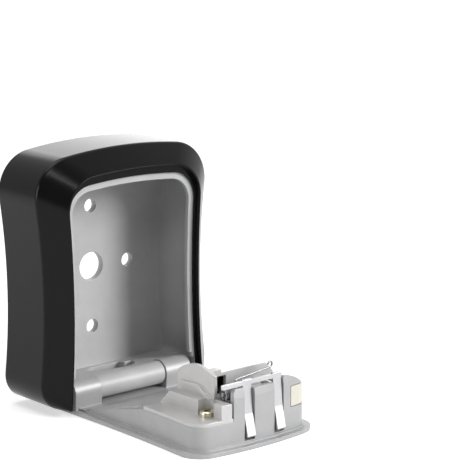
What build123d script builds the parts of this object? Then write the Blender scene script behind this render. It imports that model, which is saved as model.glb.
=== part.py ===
from build123d import *
import math
import os

# Wall key safe with a fold-down combination door, modelled open: the door lies flat with its
# outer face down. Millimetres. +X is the user's right, -Y comes off the wall, +Z is up, and the
# origin is the centre of the wall screw pattern on the back face.
# Sketch coordinates: f is the distance forward of the wall, h the height over the resting plane,
# v runs up the closed door from its lower edge, w inwards from its outer face. The lock's own v is
# counted from a datum under the door's top edge, which here lies on the door's lower edge.

# Case, driving sizes
CASE_DEPTH = 38.0
CASE_TOP = 117.3
CASE_BASE = 2.0
MOUNT_H = 57.6
WAIST_H = 52.0
WAIST_HALF = 44.35
WAIST_BOW = 309.0
CROWN_R = 237.0
SHELL_WALL = 2.5
SHELL_TOP_R = 18.0
SHELL_BASE_R = 11.5
RIDGE_F = 28.5
RIDGE_FILLET = 2.5
MOUTH_HALF = 35.0
MOUTH_BOW = 520.0
MOUTH_TOP = CASE_TOP - 9.6
MOUTH_TOP_R = 15.2
MOUTH_BASE_R = 3.0
MOUTH_FILLET = 0.6
LIP_HALF = 34.4
LIP_BOW = 600.0
LIP_TOP = MOUTH_TOP - 3.6
LIP_TOP_R = 13.0
LIP_SETBACK = 2.4
LIP_THICK = 1.2
INNER_GAP = 0.2
INNER_WALL = 2.2
INNER_BACK = 3.4
RIM_HALF = 31.7
RIM_TOP = LIP_TOP - 3.0
RIM_TOP_R = 10.5
RIM_THICK = 2.0
FLOOR_BACK_H = 10.3
FLOOR_FRONT_H = 14.4
DISH_X = (-11.0, 15.0)
DISH_F = (13.0, 24.5)
DISH_H = 9.6
DISH_SLOT_X = (-7.0, 11.0)
DISH_SLOT_F = (8.5, 13.2)
DISH_SLOT_H = 6.5
DISH_OVER_H = 20.0

# Hinge
HINGE_V = 7.8
HINGE_W = 9.1
HINGE_F = CASE_DEPTH - HINGE_W
DOOR_F = HINGE_F - HINGE_V
PIN_R = 1.6
PIN_HALF = 32.6
PIN_CLEARANCE = 0.05
BARREL_R = 5.4
BARREL_HALF = 18.2
LUG_R = 6.0
LUG_IN = 18.6
LUG_OUT = 33.0
LUG_BASE = (1.8, 13.3)
TROUGH_GAP = 0.5
SWING_HALF = 35.8
FOOT_FRONT = 19.6
FOOT_BACK = 0.8
FOOT_HALF = 33.6

# Wall holes
SCREW_HOLE_R = 3.25
SCREW_PITCH_V = 56.8
SCREW_PITCH_H = 41.6
CENTRE_HOLE_R = 6.65

# Door
DOOR_TOP = RIM_TOP + 0.7
DOOR_CROWN_R = 167.0
DOOR_HALF_BASE = 34.2
DOOR_HALF_WAIST = 33.4
DOOR_HALF_TOP = 35.4
DOOR_WAIST_V = 46.0
DOOR_TOP_R = 11.0
DOOR_BASE_R = 1.5
PLATE_W = 2.0
PLATEAU_INSET = 2.75
PLATEAU_W = 2.7
HOUSING_INSET = 3.8
HOUSING_WALL = 2.2
HOUSING_W = 12.5
TALL_W = 28.0
TALL_X = -12.7
TALL_V = 84.0
RAMP_START = 16.0
RAMP_END = 58.0
RAMP_SKIN = 2.2
END_WALL_TOP = 26.3
END_PANEL_TOP = 25.2
END_CHAMFER = (1.1, 1.7)
END_SHOULDER = [(16.3, 26.9), (18.0, 26.9), (23.0, 25.2), (26.7, 22.8), (29.5, 19.8)]
END_CORNER_W = 18.0
SWEEP_GAP = 0.9
LOCK_DATUM = 101.8

# Dial recess in the door's face
RECESS_W = 6.5
RECESS_SKIN = 1.5
RECESS_V = (58.5, 84.0, 90.3)
RECESS_HALF = (20.5, 25.6)
SCOOP_X = (-17.6, 21.0)
SCOOP_V = (58.1, 63.4)
SCOOP_W = 8.0
SCOOP_PAD_W = 9.5

# Dials
DIAL_X = [-6.6, 1.1, 8.8, 16.5]
DIAL_V = 76.9
DIAL_W = 13.2
DIAL_R = 10.4
DIAL_WIDTH = 4.2
DIAL_FACES = 10
DIAL_BORE_R = 3.4
SHAFT_R = 2.0
SHAFT_X = (-11.9, 20.8)
RUN_CLEARANCE = 0.05
CAM_R = 4.8
CAM_WIDTH = 1.5
WINDOW_HALF_V = 9.4
WINDOW_WIDTH = 4.9
RIB_THICK = 1.3
DETENT_V = (59.4, 62.6)
DETENT_T = 0.6
DETENT_WIDTH = 3.0
DETENT_LEAF = 0.8
DETENT_GAP = 0.8
DETENT_TIP_W = (0.2, 0.8)
DETENT_END = 2.0

# Thumb slide and fence
THUMB_X = (-19.55, -12.55)
THUMB_V = (70.0, 79.5)
THUMB_WINDOW_X = (-19.9, -12.2)
THUMB_WINDOW_V = (69.6, 84.2)
THUMB_W = (4.6, 8.3)
THUMB_PLATE_X = (-21.8, -12.2)
THUMB_PLATE_V = (67.6, 80.6)
THUMB_PLATE_W = 9.9
THUMB_RIDGES = 5
FENCE_W = (24.1, 25.1)
FENCE_V = (75.6, 78.6)
FENCE_X = (-13.4, 15.4)
FENCE_LEG = 1.1
FENCE_TOOTH_W = 18.8
FENCE_TOOTH = 1.3

# Lock cover
COVER_T = 1.5
COVER_W = HOUSING_W + COVER_T
COVER_NOTCH_X = 22.4
COVER_SKIN = 1.6
BLOCK_X = (-20.7, 24.3)
BLOCK_W = 20.5
BLOCK_V = (57.0, 64.5)
BLOCK_FRONT_V = 86.7
CORNER_BLOCK_X = (-18.9, -13.6)
CORNER_BLOCK_V = 91.7
CORNER_WALL = 1.1
LID_X = (-15.4, 20.6)
LID_BACK = (64.5, 23.0)
LID_FRONT = (84.5, 30.6)
LID_END_CUT = 4.5
PAD_X = -8.5
PAD_V = (74.0, 77.0, 80.0)
PAD_SHOULDER_W = 29.3
PAD_RISE = 1.4
EAR_BACK = (63.8, 28.7)
EAR_CROWN = (77.0, 33.5)
EAR_TURN = (82.0, 32.7)
EAR_FRONT = (88.0, 30.8)
EAR_STEP = 1.2
EAR_RIB = [(66.0, 25.0), (78.0, 25.4)]
EAR_RIB_FOOT_V = 86.2
EAR_GROOVE = [(65.9, 23.9), (77.2, 24.2)]
EAR_GROOVE_FOOT_V = 82.6
EAR_GROOVE_DEPTH = 0.4
BLOCK_HOLLOW = (4.0, 1.5, 3.2)
BAY_FLOOR = [(84.5, 22.6), (89.5, 17.0)]
BAY_DOOR_X = -6.0
BAY_DOOR_W = (21.4, 29.0)
SCREW_SPOTS = [(-18.3, 86.9), (26.4, 62.5)]
SCREW_HEAD_R = [3.5, 2.4]
SCREW_POCKET = [0.5, 0.8]
POCKET_WALL = 1.0
SCREW_HEAD_W = 2.4
SCREW_CROWN = 0.3
SCREW_SHANK_R = 1.2
SCREW_DEPTH = 3.4
BOSS_R = 2.3

# Latch, its pin and its wound spring
LATCH_V = 90.0
LATCH_W = 22.6
LATCH_PIN_R = 0.9
LATCH_PIN_X = (-12.9, 19.4)
PIN_POST = 0.75
PIN_POST_THICK = 1.6
PIN_POST_V = (1.8, 6.4)
PIN_POST_W = (2.4, 2.0)
LATCH_T = 1.2
LEG_X = [(-6.5, -1.9), (10.4, 15.0)]
SLOT_X = [(-6.95, -1.45), (9.95, 15.45)]
SLOT_W = 3.0
LATCH_BAR_TOP = (95.4, 28.7)
LATCH_BEND = (95.5, 26.8)
LATCH_KINK = (96.5, 14.4)
LATCH_TIP = (98.7, 5.1)
LATCH_BAR_X = (-17.5, 15.5)
EYE_R = 2.2
EYE_T = 1.2
SPRING_WIRE_R = 0.4
SPRING_R = 2.4
SPRING_PITCH = 1.3
SPRING_TURNS = 3
SPRING_X = -12.35
SPRING_TAIL_W = 16.0
SPRING_RUN_W = 28.9
SPRING_RUN_X = 12.0
SPRING_CURL_R = 1.2

# Reset lever
RESET_X = (20.2, 29.0)
RESET_W = (12.6, 21.4)
RESET_GAP = 0.4
RESET_BACK_V = 92.4


def wall_plane(f):
    """Sketch plane at distance f off the wall: x across, h up, normal forwards."""
    return Plane(origin=(0, -f, -MOUNT_H), x_dir=(1, 0, 0), z_dir=(0, -1, 0))


def floor_plan(h):
    """Sketch plane at height h seen in plan: x across, f forwards, normal down."""
    return Plane(origin=(0, 0, h - MOUNT_H), x_dir=(1, 0, 0), z_dir=(0, 0, -1))


def case_side(x):
    """Sketch plane across the case at x: f forwards, h up, normal towards -X."""
    return Plane(origin=(x, 0, -MOUNT_H), x_dir=(0, -1, 0), z_dir=(-1, 0, 0))


def door_plan(w):
    """Sketch plane parallel to the door at depth w: x across, v up the door, normal outwards."""
    return Plane(origin=(0, -DOOR_F, w - MOUNT_H), x_dir=(1, 0, 0), z_dir=(0, 0, -1))


def door_side(x):
    """Sketch plane across the door at x: v up the door, w inwards, normal towards -X."""
    return Plane(origin=(x, -DOOR_F, -MOUNT_H), x_dir=(0, -1, 0), z_dir=(-1, 0, 0))


def lock_plan(w):
    """Sketch plane parallel to the door at depth w, with v counted from the lock's datum."""
    return Plane(origin=(0, -DOOR_F - LOCK_RISE, w - MOUNT_H), x_dir=(1, 0, 0), z_dir=(0, 0, -1))


def lock_side(x):
    """Sketch plane across the door at x, with v counted from the lock's datum."""
    return Plane(origin=(x, -DOOR_F - LOCK_RISE, -MOUNT_H), x_dir=(0, -1, 0), z_dir=(-1, 0, 0))


def lock_point(x, v, w):
    """World point of a place in the lock, with v counted from its datum."""
    return Vector(x, -DOOR_F - LOCK_RISE - v, w - MOUNT_H)


def waisted(sketch, half, bow, top, base, top_r, base_r):
    """Draw a case outline: flat base, bowed waisted sides and a crowned top, corners rounded."""
    def half_at(h):
        return half + (h - WAIST_H) ** 2 / (2 * bow)

    corner = top
    for _ in range(5):
        corner = top - half_at(corner) ** 2 / (2 * CROWN_R)
    with BuildLine() as outline:
        Line((-half_at(base), base), (half_at(base), base))
        ThreePointArc((half_at(base), base), (half, WAIST_H), (half_at(corner), corner))
        ThreePointArc((half_at(corner), corner), (0, top), (-half_at(corner), corner))
        ThreePointArc((-half_at(corner), corner), (-half, WAIST_H), (-half_at(base), base))
    make_face(outline.edges())
    fillet(sketch.vertices().group_by(Axis.Y)[-1], top_r)
    fillet(sketch.vertices().group_by(Axis.Y)[0], base_r)


def door_outline(sketch, inset):
    """Draw the door's outline moved inwards by inset."""
    half_base = DOOR_HALF_BASE - inset
    half_waist = DOOR_HALF_WAIST - inset
    half_top = DOOR_HALF_TOP - inset
    top = DOOR_TOP - inset
    corner = top - half_top ** 2 / (2 * DOOR_CROWN_R)
    with BuildLine() as outline:
        Line((-half_base, 0), (half_base, 0))
        ThreePointArc((half_base, 0), (half_waist, DOOR_WAIST_V), (half_top, corner))
        ThreePointArc((half_top, corner), (0, top), (-half_top, corner))
        ThreePointArc((-half_top, corner), (-half_waist, DOOR_WAIST_V), (-half_base, 0))
    make_face(outline.edges())
    fillet(sketch.vertices().group_by(Axis.Y)[-1], DOOR_TOP_R - inset)
    fillet(sketch.vertices().group_by(Axis.Y)[0], DOOR_BASE_R)


def recess_outline(sketch, grow):
    """Draw the dial recess's outline, grown by grow."""
    low, shoulder, crown = RECESS_V
    low_half, high_half = RECESS_HALF
    with BuildLine() as outline:
        Line((-low_half - grow, low - grow), (low_half + grow, low - grow))
        Line((low_half + grow, low - grow), (high_half + grow, shoulder))
        ThreePointArc((high_half + grow, shoulder), (0, crown + grow), (-high_half - grow, shoulder))
        Line((-high_half - grow, shoulder), (-low_half - grow, low - grow))
    make_face(outline.edges())
    fillet(sketch.vertices().group_by(Axis.Y)[-1], 5.0 + grow)
    fillet(sketch.vertices().group_by(Axis.Y)[0], 5.0 + grow)


def box_in(plane, x_range, y_range, depth, mode=Mode.ADD):
    """Extrude a rectangle given by its two ranges from a sketch plane along its normal."""
    with BuildSketch(plane) as profile:
        with Locations(((x_range[0] + x_range[1]) / 2, (y_range[0] + y_range[1]) / 2)):
            Rectangle(x_range[1] - x_range[0], y_range[1] - y_range[0])
    extrude(profile.sketch, amount=depth, mode=mode)


def prism(plane, points, depth, mode=Mode.ADD):
    """Extrude a polygon of sketch points along the plane's normal."""
    with BuildSketch(plane) as profile:
        with BuildLine():
            Polyline(*points, close=True)
        make_face()
    extrude(profile.sketch, amount=depth, mode=mode)


def rod(plane, centre, radius, depth, mode=Mode.ADD):
    """Extrude a circle along the plane's normal."""
    with BuildSketch(plane) as profile:
        with Locations(centre):
            Circle(radius)
    extrude(profile.sketch, amount=depth, mode=mode)


LOCK_RISE = DOOR_TOP - LOCK_DATUM
hinge_axis = Axis((0, -HINGE_F, HINGE_W - MOUNT_H), (1, 0, 0))
LIP_BACK_F = CASE_DEPTH - LIP_SETBACK - LIP_THICK
FAR = 80.0

# Outer shell: bevelled cover open at the back, at the mouth and along the door's width below
with BuildPart() as outer_shell:
    with BuildSketch(wall_plane(0)) as shell_back:
        waisted(shell_back, WAIST_HALF, WAIST_BOW, CASE_TOP, CASE_BASE, SHELL_TOP_R, SHELL_BASE_R)
    extrude(amount=RIDGE_F)
    with BuildSketch(wall_plane(RIDGE_F)) as shell_ridge:
        waisted(shell_ridge, WAIST_HALF, WAIST_BOW, CASE_TOP, CASE_BASE, SHELL_TOP_R, SHELL_BASE_R)
    with BuildSketch(wall_plane(CASE_DEPTH)) as shell_mouth:
        waisted(shell_mouth, MOUTH_HALF + MOUTH_FILLET, MOUTH_BOW, MOUTH_TOP + MOUTH_FILLET,
                CASE_BASE, MOUTH_TOP_R, MOUTH_BASE_R)
    loft(ruled=True)
    ridge_edges = outer_shell.edges().filter_by_position(Axis.Y, -RIDGE_F - 0.01, -RIDGE_F + 0.01)
    fillet(ridge_edges.filter_by(lambda e: e.center().Z > CASE_BASE - MOUNT_H + 1), RIDGE_FILLET)
    cavity_f = LIP_BACK_F - (WAIST_HALF - SHELL_WALL - MOUTH_HALF)
    cavity_base = CASE_BASE + SHELL_WALL
    with BuildSketch(wall_plane(0)) as cavity_back:
        waisted(cavity_back, WAIST_HALF - SHELL_WALL, WAIST_BOW, CASE_TOP - SHELL_WALL,
                cavity_base, SHELL_TOP_R - SHELL_WALL, SHELL_BASE_R - SHELL_WALL)
    extrude(amount=cavity_f, mode=Mode.SUBTRACT)
    with BuildSketch(wall_plane(cavity_f)) as cavity_ridge:
        waisted(cavity_ridge, WAIST_HALF - SHELL_WALL, WAIST_BOW, CASE_TOP - SHELL_WALL,
                cavity_base, SHELL_TOP_R - SHELL_WALL, SHELL_BASE_R - SHELL_WALL)
    with BuildSketch(wall_plane(LIP_BACK_F)) as cavity_front:
        waisted(cavity_front, MOUTH_HALF, MOUTH_BOW, MOUTH_TOP, cavity_base, MOUTH_TOP_R, MOUTH_BASE_R)
    loft(ruled=True, mode=Mode.SUBTRACT)
    with BuildSketch(wall_plane(LIP_BACK_F)) as lip_hole:
        waisted(lip_hole, LIP_HALF, LIP_BOW, LIP_TOP, 0, LIP_TOP_R, DOOR_BASE_R)
    extrude(amount=LIP_THICK, mode=Mode.SUBTRACT)
    with BuildSketch(wall_plane(CASE_DEPTH - LIP_SETBACK)) as mouth_hole:
        waisted(mouth_hole, MOUTH_HALF, MOUTH_BOW, MOUTH_TOP, 0, MOUTH_TOP_R, DOOR_BASE_R)
    extrude(amount=LIP_SETBACK, mode=Mode.SUBTRACT)
    box_in(wall_plane(0), (-SWING_HALF, SWING_HALF), (0, cavity_base + 0.1), CASE_DEPTH, Mode.SUBTRACT)
outer_shell.part.label = "outer_shell"

# Inner case: cast tray with the wall holes, rim, sloped floor, hinge barrel and hollow foot
inner_base = cavity_base + INNER_GAP
inner_inset = SHELL_WALL + INNER_GAP
slant_f = cavity_f - INNER_GAP
hollow_inset = inner_inset + INNER_WALL
hollow_slant = INNER_WALL * math.sqrt(2)
rim_back_f = LIP_BACK_F - RIM_THICK
front_half = MOUTH_HALF - INNER_GAP
front_top = MOUTH_TOP - INNER_GAP
hollow_front = RIM_THICK - hollow_slant
with BuildPart() as inner_case:
    with BuildSketch(wall_plane(0)) as case_back:
        waisted(case_back, WAIST_HALF - inner_inset, WAIST_BOW, CASE_TOP - inner_inset, inner_base,
                SHELL_TOP_R - inner_inset, SHELL_BASE_R - inner_inset)
    extrude(amount=slant_f)
    with BuildSketch(wall_plane(slant_f)) as case_slant:
        waisted(case_slant, WAIST_HALF - inner_inset, WAIST_BOW, CASE_TOP - inner_inset, inner_base,
                SHELL_TOP_R - inner_inset, SHELL_BASE_R - inner_inset)
    with BuildSketch(wall_plane(LIP_BACK_F)) as case_front:
        waisted(case_front, front_half - INNER_GAP, MOUTH_BOW, front_top - INNER_GAP, inner_base,
                MOUTH_TOP_R - INNER_GAP, MOUTH_BASE_R)
    loft(ruled=True)
    with BuildSketch(wall_plane(INNER_BACK)) as hollow_back:
        waisted(hollow_back, WAIST_HALF - hollow_inset, WAIST_BOW, CASE_TOP - hollow_inset,
                FLOOR_BACK_H, SHELL_TOP_R - hollow_inset, MOUTH_BASE_R)
    extrude(amount=slant_f - 1 - INNER_BACK, mode=Mode.SUBTRACT)
    with BuildSketch(wall_plane(slant_f - 1)) as hollow_ridge:
        waisted(hollow_ridge, WAIST_HALF - hollow_inset, WAIST_BOW, CASE_TOP - hollow_inset,
                FLOOR_BACK_H, SHELL_TOP_R - hollow_inset, MOUTH_BASE_R)
    with BuildSketch(wall_plane(rim_back_f)) as hollow_mouth:
        waisted(hollow_mouth, front_half + hollow_front, MOUTH_BOW, front_top + hollow_front,
                FLOOR_BACK_H, MOUTH_TOP_R - 1, MOUTH_BASE_R)
    loft(ruled=True, mode=Mode.SUBTRACT)
    with BuildSketch(wall_plane(rim_back_f)) as rim_hole:
        waisted(rim_hole, RIM_HALF, LIP_BOW, RIM_TOP, 0, RIM_TOP_R, DOOR_BASE_R)
    extrude(amount=RIM_THICK, mode=Mode.SUBTRACT)
    # Way clear for the lower edge of the door and its lugs
    box_in(case_side(SWING_HALF), (FOOT_FRONT, CASE_DEPTH), (0, FLOOR_FRONT_H + 0.2), 2 * SWING_HALF,
           Mode.SUBTRACT)
    box_in(case_side(LUG_OUT + 1), (rim_back_f, CASE_DEPTH), (0, 17), 2 * (LUG_OUT + 1), Mode.SUBTRACT)
    # Sloped floor running up into the hinge barrel
    shelf_tip = HINGE_F - 0.9
    floor_half = WAIST_HALF - hollow_inset - 1.5
    prism(case_side(floor_half), [(INNER_BACK - 1, FLOOR_BACK_H - 1), (INNER_BACK, FLOOR_BACK_H),
                                  (FOOT_FRONT, 12.95), (FOOT_FRONT, FLOOR_BACK_H - 1)],
          2 * floor_half)
    prism(case_side(SWING_HALF), [(FOOT_FRONT - 1, 6.0), (FOOT_FRONT - 1, 12.8), (shelf_tip, FLOOR_FRONT_H),
                                  (HINGE_F, HINGE_W), (24.0, 6.0)], 2 * SWING_HALF)
    box_in(floor_plan(inner_base + 1), (-FOOT_HALF, FOOT_HALF), (FOOT_BACK, FOOT_FRONT), inner_base + 1)
    for side in (-1, 1):
        middle = side * (BARREL_HALF + SWING_HALF) / 2
        width = SWING_HALF - BARREL_HALF
        start = case_side(middle + width / 2)
        rod(start, (HINGE_F, HINGE_W), LUG_R + TROUGH_GAP, width, Mode.SUBTRACT)
        box_in(start, (HINGE_F - LUG_R - TROUGH_GAP, HINGE_F + LUG_R), (3, HINGE_W), width, Mode.SUBTRACT)
    rod(case_side(BARREL_HALF), (HINGE_F, HINGE_W), BARREL_R, 2 * BARREL_HALF)
    rod(case_side(BARREL_HALF), (HINGE_F, HINGE_W), PIN_R, 2 * BARREL_HALF, Mode.SUBTRACT)
    # D-shaped floor recess with a deeper slot, and the wall holes
    with BuildSketch(floor_plan(DISH_OVER_H)):
        with BuildLine():
            Line((DISH_X[0], DISH_F[0]), (DISH_X[1], DISH_F[0]))
            ThreePointArc((DISH_X[1], DISH_F[0]), ((DISH_X[0] + DISH_X[1]) / 2, DISH_F[1]),
                          (DISH_X[0], DISH_F[0]))
        make_face()
    extrude(amount=DISH_OVER_H - DISH_H, mode=Mode.SUBTRACT)
    box_in(floor_plan(DISH_OVER_H), DISH_SLOT_X, DISH_SLOT_F, DISH_OVER_H - DISH_SLOT_H, Mode.SUBTRACT)
    with BuildSketch(wall_plane(0)):
        with Locations((0, MOUNT_H - SCREW_PITCH_V / 2), (0, MOUNT_H + SCREW_PITCH_V / 2),
                       (-SCREW_PITCH_H / 2, MOUNT_H), (SCREW_PITCH_H / 2, MOUNT_H)):
            Circle(SCREW_HOLE_R)
        with Locations((0, MOUNT_H)):
            Circle(CENTRE_HOLE_R)
    extrude(amount=INNER_BACK, mode=Mode.SUBTRACT)
inner_case.part.label = "inner_case"

with BuildPart() as hinge_pin:
    rod(case_side(PIN_HALF), (HINGE_F, HINGE_W), PIN_R, 2 * PIN_HALF)
hinge_pin.part.label = "hinge_pin"

# The room that the rim leaves the door as it swings, turned round the hinge line
with BuildPart() as swing_room:
    with BuildSketch(wall_plane(HINGE_F)) as room_outline:
        waisted(room_outline, RIM_HALF - SWEEP_GAP, LIP_BOW, RIM_TOP - SWEEP_GAP, 0,
                RIM_TOP_R - SWEEP_GAP, DOOR_BASE_R)
        with Locations((0, HINGE_W - FAR / 2)):
            Rectangle(2 * FAR, FAR, mode=Mode.SUBTRACT)
    revolve(axis=hinge_axis)

# Door panel: plate, housing walls inside the swing room, dial recess, ribs and hinge lugs
ramp_slope = (HOUSING_W - PLATEAU_W) / (RAMP_END + LOCK_RISE - RAMP_START)
with BuildPart() as door_panel:
    with BuildSketch(door_plan(TALL_W)) as housing:
        door_outline(housing, HOUSING_INSET)
    extrude(amount=TALL_W)
    ramp_end = RAMP_END + LOCK_RISE
    tall_start = TALL_V + LOCK_RISE
    prism(door_side(FAR / 2), [(-1, PLATEAU_W), (RAMP_START, PLATEAU_W), (ramp_end, HOUSING_W),
                               (tall_start, HOUSING_W), (tall_start, FAR), (-1, FAR)], FAR, Mode.SUBTRACT)
    panel_x = (SLOT_X[0][0] - 0.1, SLOT_X[1][1] - 1)
    prism(wall_plane(DOOR_F + tall_start),
          [(-FAR, HOUSING_W), (TALL_X, HOUSING_W), (TALL_X, END_WALL_TOP - END_CHAMFER[1]),
           (TALL_X + END_CHAMFER[0], END_WALL_TOP),
           (panel_x[0], END_WALL_TOP), (panel_x[0], END_PANEL_TOP), (panel_x[1], END_PANEL_TOP),
           (panel_x[1], END_WALL_TOP), (END_SHOULDER[0][0] - 0.3, END_WALL_TOP), *END_SHOULDER,
           (FAR, END_CORNER_W), (FAR, FAR), (-FAR, FAR)], FAR, Mode.SUBTRACT)
    add(swing_room.part, mode=Mode.INTERSECT)
    with BuildSketch(door_plan(FAR)) as housing_hollow:
        door_outline(housing_hollow, HOUSING_INSET + HOUSING_WALL)
        with Locations((0, ramp_end - FAR / 2)):
            Rectangle(FAR, FAR, mode=Mode.SUBTRACT)
    extrude(amount=FAR - PLATEAU_W, mode=Mode.SUBTRACT)
    hollow_half = DOOR_HALF_WAIST - HOUSING_INSET - HOUSING_WALL
    wedge_start = RAMP_START + (RAMP_SKIN + 1) / ramp_slope
    prism(door_side(hollow_half), [(wedge_start, PLATEAU_W), (ramp_end + 0.1, PLATEAU_W),
                                   (ramp_end + 0.1, HOUSING_W - RAMP_SKIN), (wedge_start, PLATEAU_W + 1)],
          2 * hollow_half, Mode.SUBTRACT)
    with BuildSketch(door_plan(PLATE_W)) as plate:
        door_outline(plate, 0)
    extrude(amount=PLATE_W)
    plate_rim = door_panel.faces().sort_by(Axis.Z)[0].edges()
    fillet(plate_rim, 0.7)
    with BuildSketch(door_plan(PLATEAU_W)) as plateau:
        door_outline(plateau, PLATEAU_INSET)
    extrude(amount=PLATEAU_W - PLATE_W / 2)
    with BuildSketch(lock_plan(RECESS_W + RECESS_SKIN)) as pan:
        recess_outline(pan, RECESS_SKIN)
    extrude(amount=RECESS_W)
    box_in(lock_plan(SCOOP_PAD_W), SCOOP_X, (SCOOP_V[0], SCOOP_V[1] + 1), SCOOP_PAD_W - PLATE_W)
    for rib_x in (SHAFT_X[0], SHAFT_X[1] - RIB_THICK):
        box_in(lock_side(rib_x + RIB_THICK), (DIAL_V - 4.5, DIAL_V + 4.5), (RECESS_W + 0.5, DIAL_W + 3),
               RIB_THICK)
    for spot in SCREW_SPOTS:
        rod(lock_plan(HOUSING_W), spot, BOSS_R, HOUSING_W - PLATE_W)
    for x_range in ((SLOT_X[0][0] - PIN_POST, SLOT_X[0][0]), (LATCH_PIN_X[1] - PIN_POST_THICK, LATCH_PIN_X[1])):
        box_in(lock_side(x_range[1]), (LATCH_V - PIN_POST_V[0], LATCH_V + PIN_POST_V[1]),
               (LATCH_W - PIN_POST_W[0], LATCH_W + PIN_POST_W[1]), x_range[1] - x_range[0])
    for side in (-1, 1):
        lug_start = door_side(max(side * LUG_IN, side * LUG_OUT))
        rod(lug_start, (HINGE_V, HINGE_W), LUG_R, LUG_OUT - LUG_IN)
        prism(lug_start, [(LUG_BASE[0], PLATE_W / 2), (LUG_BASE[1], PLATE_W / 2),
                          (HINGE_V + LUG_R, HINGE_W), (LUG_BASE[0], HINGE_W)], LUG_OUT - LUG_IN)
    rod(case_side(FAR / 2), (HINGE_F, HINGE_W), PIN_R + PIN_CLEARANCE, FAR, Mode.SUBTRACT)
    with BuildSketch(lock_plan(RECESS_W)) as recess:
        recess_outline(recess, 0)
    extrude(amount=RECESS_W, mode=Mode.SUBTRACT)
    with BuildSketch(lock_plan(SCOOP_W)):
        scoop_mid = ((SCOOP_X[0] + SCOOP_X[1]) / 2, (SCOOP_V[0] + SCOOP_V[1]) / 2)
        with Locations(scoop_mid):
            Ellipse((SCOOP_X[1] - SCOOP_X[0]) / 2 - 1, (SCOOP_V[1] - SCOOP_V[0]) / 2)
    extrude(amount=SCOOP_W, mode=Mode.SUBTRACT)
    for dial_x in DIAL_X:
        box_in(lock_plan(SCOOP_PAD_W), (dial_x - WINDOW_WIDTH / 2, dial_x + WINDOW_WIDTH / 2),
               (DIAL_V - WINDOW_HALF_V, DIAL_V + WINDOW_HALF_V), SCOOP_PAD_W, Mode.SUBTRACT)
    box_in(lock_plan(SCOOP_PAD_W), THUMB_WINDOW_X, THUMB_WINDOW_V, SCOOP_PAD_W, Mode.SUBTRACT)
    rod(lock_side(SHAFT_X[1]), (DIAL_V, DIAL_W), SHAFT_R, SHAFT_X[1] - SHAFT_X[0], Mode.SUBTRACT)
    rod(lock_side(LATCH_PIN_X[1]), (LATCH_V, LATCH_W), LATCH_PIN_R, LATCH_PIN_X[1] - LATCH_PIN_X[0],
        Mode.SUBTRACT)
    for spot in SCREW_SPOTS:
        rod(lock_plan(HOUSING_W), spot, SCREW_SHANK_R, SCREW_DEPTH, Mode.SUBTRACT)
    for slot in SLOT_X:
        box_in(lock_plan(FAR), slot, (LATCH_V + 3, FAR + 30), FAR - SLOT_W, Mode.SUBTRACT)
    box_in(lock_plan(RESET_W[1] + RESET_GAP), (RESET_X[0] - RESET_GAP, RESET_X[1] + RESET_GAP),
           (RESET_BACK_V - 3, FAR + 30), RESET_W[1] - RESET_W[0] + 2 * RESET_GAP, Mode.SUBTRACT)
door_panel.part.label = "door_panel"

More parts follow.
